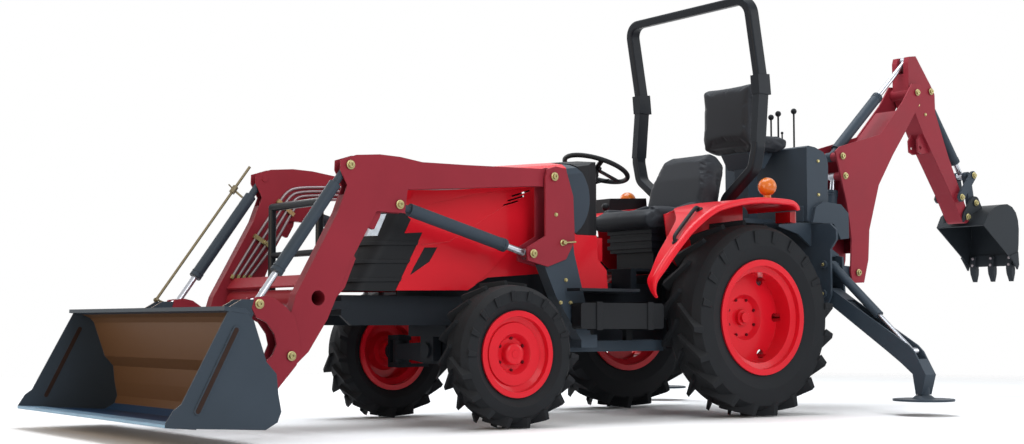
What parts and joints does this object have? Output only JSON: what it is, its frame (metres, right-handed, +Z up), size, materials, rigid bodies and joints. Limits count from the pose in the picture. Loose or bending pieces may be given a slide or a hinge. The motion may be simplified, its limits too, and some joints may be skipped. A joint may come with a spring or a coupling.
{
  "type": "backhoe loader",
  "caption": "Compact tractor with a front loader bucket, a roll-over frame, and a rear digging arm between folding stabilizer legs.",
  "frame": {"origin": "on the ground under the middle of the machine", "axes": "+X forward, +Y to the driver's left, +Z up"},
  "size_m": [6.8174, 2.6138, 2.4692],
  "materials": {
    "bright_red": "gloss",
    "dark_red": "satin",
    "dark_grey": "satin",
    "chrome_rod": "polished",
    "iron": "painted",
    "tyre": "matt",
    "black_plastic": "matt",
    "black_paint": "satin",
    "amber": "clear",
    "lamp_lens": "clear",
    "seat_cloth": "matt"
  },
  "bodies": {
    "chassis": {"front_frame": "iron", "front_axle": "iron", "driveline": "iron", "cowl": "bright_red", "dash": "black_plastic", "floor_deck": "black_paint", "side_tank": "black_plastic", "fenders": "bright_red", "fender_lamps": "amber", "seat": "seat_cloth", "seat_base": "black_paint", "rops": "black_paint", "masts": "dark_red", "mast_posts": "dark_grey", "grille_guard": "black_paint", "hoe_frame": "dark_grey", "control_tower": "dark_grey", "levers": "black_plastic", "hoe_seat": "seat_cloth", "hoe_seat_post": "dark_grey"},
    "hood_lid": {"hood": "bright_red", "hood_grilles": "black_plastic", "hood_collar": "dark_grey", "headlamps": "lamp_lens"},
    "steering_wheel": {"steering_wheel": "black_plastic"},
    "left_knuckle": {"knuckle_left": "iron"},
    "right_knuckle": {"knuckle_right": "iron"},
    "front_wheel_left": {"front_rim_left": "bright_red", "front_tyre_left": "tyre"},
    "front_wheel_right": {"front_rim_right": "bright_red", "front_tyre_right": "tyre"},
    "rear_wheel_left": {"rear_rim_left": "bright_red", "rear_tyre_left": "tyre"},
    "rear_wheel_right": {"rear_rim_right": "bright_red", "rear_tyre_right": "tyre"},
    "loader_arms": {"loader_boom": "dark_red"},
    "lift_barrels": {"lift_barrels": "dark_grey"},
    "lift_rods": {"lift_rods": "chrome_rod"},
    "tilt_barrels": {"tilt_barrels": "dark_grey"},
    "tilt_rods": {"tilt_rods": "chrome_rod"},
    "loader_bucket": {"loader_hitch": "dark_red", "loader_bucket": "dark_grey"},
    "swing_post": {"swing_post": "dark_grey"},
    "hoe_boom": {"hoe_boom": "dark_red"},
    "boom_barrel": {"boom_barrel": "dark_grey"},
    "boom_rod": {"boom_rod": "chrome_rod"},
    "dipper": {"dipper": "dark_red"},
    "crowd_barrel": {"crowd_barrel": "dark_grey"},
    "crowd_rod": {"crowd_rod": "chrome_rod"},
    "hoe_bucket": {"hoe_bucket": "dark_grey"},
    "idlers": {"idlers": "dark_grey"},
    "bucket_link": {"bucket_link": "dark_grey"},
    "curl_barrel": {"curl_barrel": "dark_grey"},
    "curl_rod": {"curl_rod": "chrome_rod"},
    "stabilizer_left": {"stabilizer_left": "dark_grey"},
    "stab_barrel_left": {"stab_barrel_left": "dark_grey"},
    "stab_rod_left": {"stab_rod_left": "chrome_rod"},
    "stabilizer_right": {"stabilizer_right": "dark_grey"},
    "stab_barrel_right": {"stab_barrel_right": "dark_grey"},
    "stab_rod_right": {"stab_rod_right": "chrome_rod"}
  },
  "joints": [
    {"name": "hood_hinge", "type": "hinge", "parent": "chassis", "child": "hood_lid", "pos_m": [0.8834, 0, 1.215], "axis": [0, -1, 0], "range_deg": [0, 50]},
    {"name": "steer", "type": "hinge", "parent": "chassis", "child": "left_knuckle", "pos_m": [1.4124, 0.44, 0.375], "axis": [0, 0, 1], "range_deg": [-38, 38]},
    {"name": "steer_right", "type": "hinge", "parent": "chassis", "child": "right_knuckle", "pos_m": [1.4124, -0.44, 0.375], "axis": [0, 0, 1], "range_deg": [-38, 38]},
    {"name": "steering_wheel_turn", "type": "hinge", "parent": "chassis", "child": "steering_wheel", "pos_m": [0.3654, 0, 1.4], "axis": [-0.3507, 0, 0.9365], "range_deg": [-570, 570]},
    {"name": "front_wheel_spin_left", "type": "hinge", "parent": "left_knuckle", "child": "front_wheel_left", "pos_m": [1.4124, 0.59, 0.375], "axis": [0, 1, 0], "continuous": true},
    {"name": "rear_wheel_spin_left", "type": "hinge", "parent": "chassis", "child": "rear_wheel_left", "pos_m": [-0.2916, 0.585, 0.5645], "axis": [0, 1, 0], "continuous": true},
    {"name": "front_wheel_spin_right", "type": "hinge", "parent": "right_knuckle", "child": "front_wheel_right", "pos_m": [1.4124, -0.59, 0.375], "axis": [0, 1, 0], "continuous": true},
    {"name": "rear_wheel_spin_right", "type": "hinge", "parent": "chassis", "child": "rear_wheel_right", "pos_m": [-0.2916, -0.585, 0.5645], "axis": [0, 1, 0], "continuous": true},
    {"name": "loader_lift", "type": "hinge", "parent": "chassis", "child": "loader_arms", "pos_m": [1.0524, 0, 1.306], "axis": [0, -1, 0], "range_deg": [-2, 75]},
    {"name": "lift_barrel_swing", "type": "hinge", "parent": "loader_arms", "child": "lift_barrels", "pos_m": [2.0024, 0, 1.115], "axis": [0, -1, 0], "range_deg": [-11, 0.6]},
    {"name": "lift_rod_slide", "type": "slide", "parent": "lift_barrels", "child": "lift_rods", "axis": [-0.9647, 0, -0.2632], "range_m": [-0.0146, 0.51]},
    {"name": "bucket_tilt", "type": "hinge", "parent": "loader_arms", "child": "loader_bucket", "pos_m": [2.6034, 0, 0.378], "axis": [0, -1, 0], "range_deg": [-80, 25]},
    {"name": "tilt_barrel_swing", "type": "hinge", "parent": "loader_arms", "child": "tilt_barrels", "pos_m": [2.2844, 0, 1.295], "axis": [0, -1, 0], "range_deg": [-4, 1.5]},
    {"name": "tilt_rod_slide", "type": "slide", "parent": "tilt_barrels", "child": "tilt_rods", "axis": [0.5829, 0, -0.8125], "range_m": [-0.1197, 0.381]},
    {"name": "hoe_swing", "type": "hinge", "parent": "chassis", "child": "swing_post", "pos_m": [-1.5166, 0, 0.9], "axis": [0, 0, 1], "range_deg": [-88, 88]},
    {"name": "hoe_boom_lift", "type": "hinge", "parent": "swing_post", "child": "hoe_boom", "pos_m": [-1.7916, 0, 0.865], "axis": [0, -1, 0], "range_deg": [-15, 90]},
    {"name": "boom_barrel_swing", "type": "hinge", "parent": "swing_post", "child": "boom_barrel", "pos_m": [-1.6236, 0, 0.962], "axis": [0, -1, 0], "range_deg": [-15, 87.5]},
    {"name": "boom_rod_slide", "type": "slide", "parent": "boom_barrel", "child": "boom_rod", "axis": [-0.1108, 0, 0.9938], "range_m": [-0.0477, 0.2811]},
    {"name": "dipper_crowd", "type": "hinge", "parent": "hoe_boom", "child": "dipper", "pos_m": [-2.4216, 0, 2.118], "axis": [0, -1, 0], "range_deg": [-75, 31]},
    {"name": "crowd_barrel_swing", "type": "hinge", "parent": "hoe_boom", "child": "crowd_barrel", "pos_m": [-1.6546, 0, 1.628], "axis": [0, -1, 0], "range_deg": [-6.5, 3]},
    {"name": "crowd_rod_slide", "type": "slide", "parent": "crowd_barrel", "child": "crowd_rod", "axis": [-0.734, 0, 0.6792], "range_m": [-0.2636, 0.1095]},
    {"name": "hoe_bucket_curl", "type": "hinge", "parent": "dipper", "child": "hoe_bucket", "pos_m": [-2.9756, 0, 1.283], "axis": [0, -1, 0], "range_deg": [-12, 118]},
    {"name": "idler_swing", "type": "hinge", "parent": "dipper", "child": "idlers", "pos_m": [-2.8916, 0, 1.418], "axis": [0, -1, 0], "range_deg": [-8.01, 76.08]},
    {"name": "bucket_link_swing", "type": "hinge", "parent": "idlers", "child": "bucket_link", "pos_m": [-3.0296, 0, 1.579], "axis": [0, -1, 0], "range_deg": [-53.18, 5.68]},
    {"name": "curl_barrel_swing", "type": "hinge", "parent": "dipper", "child": "curl_barrel", "pos_m": [-2.6126, 0, 2.146], "axis": [0, -1, 0], "range_deg": [-0.73, 4.52]},
    {"name": "curl_rod_slide", "type": "slide", "parent": "curl_barrel", "child": "curl_rod", "axis": [-0.5925, 0, -0.8056], "range_m": [-0.0276, 0.2622]},
    {"name": "stabilizer_raise_left", "type": "hinge", "parent": "chassis", "child": "stabilizer_left", "pos_m": [-1.1536, 0.446, 0.712], "axis": [1, 0, 0], "range_deg": [-8, 92]},
    {"name": "stab_barrel_swing_left", "type": "hinge", "parent": "chassis", "child": "stab_barrel_left", "pos_m": [-1.1536, 0.452, 0.89], "axis": [1, 0, 0], "range_deg": [-8.5, 91.5]},
    {"name": "stab_rod_slide_left", "type": "slide", "parent": "stab_barrel_left", "child": "stab_rod_left", "axis": [0, 0.7596, -0.6504], "range_m": [-0.2637, 0.0238]},
    {"name": "stabilizer_raise_right", "type": "hinge", "parent": "chassis", "child": "stabilizer_right", "pos_m": [-1.1536, -0.446, 0.712], "axis": [-1, 0, 0], "range_deg": [-8, 92]},
    {"name": "stab_barrel_swing_right", "type": "hinge", "parent": "chassis", "child": "stab_barrel_right", "pos_m": [-1.1536, -0.452, 0.89], "axis": [-1, 0, 0], "range_deg": [-8.5, 91.5]},
    {"name": "stab_rod_slide_right", "type": "slide", "parent": "stab_barrel_right", "child": "stab_rod_right", "axis": [0, -0.7596, -0.6504], "range_m": [-0.2637, 0.0238]}
  ],
  "couplings": [
    {"joint": "steer_right", "follows": "steer", "ratio": 1},
    {"joint": "steering_wheel_turn", "follows": "steer", "ratio": 15},
    {"joint": "lift_barrel_swing", "follows": "loader_lift", "ratio": -0.14058},
    {"joint": "lift_rod_slide", "follows": "loader_lift", "m_per_rad": 0.38887},
    {"joint": "tilt_barrel_swing", "follows": "bucket_tilt", "ratio": 0.035422},
    {"joint": "tilt_rod_slide", "follows": "bucket_tilt", "m_per_rad": -0.27213},
    {"joint": "boom_barrel_swing", "follows": "hoe_boom_lift", "ratio": 0.9605},
    {"joint": "boom_rod_slide", "follows": "hoe_boom_lift", "m_per_rad": 0.17833},
    {"joint": "crowd_barrel_swing", "follows": "dipper_crowd", "ratio": 0.079097},
    {"joint": "crowd_rod_slide", "follows": "dipper_crowd", "m_per_rad": 0.20063},
    {"joint": "idler_swing", "follows": "hoe_bucket_curl", "ratio": 0.64217},
    {"joint": "bucket_link_swing", "follows": "hoe_bucket_curl", "ratio": -0.44815},
    {"joint": "curl_barrel_swing", "follows": "hoe_bucket_curl", "ratio": 0.035722},
    {"joint": "curl_rod_slide", "follows": "hoe_bucket_curl", "m_per_rad": 0.12681},
    {"joint": "stab_barrel_swing_left", "follows": "stabilizer_raise_left", "ratio": 0.98459},
    {"joint": "stab_rod_slide_left", "follows": "stabilizer_raise_left", "m_per_rad": -0.1636},
    {"joint": "stab_barrel_swing_right", "follows": "stabilizer_raise_right", "ratio": 0.98459},
    {"joint": "stab_rod_slide_right", "follows": "stabilizer_raise_right", "m_per_rad": -0.1636}
  ]
}
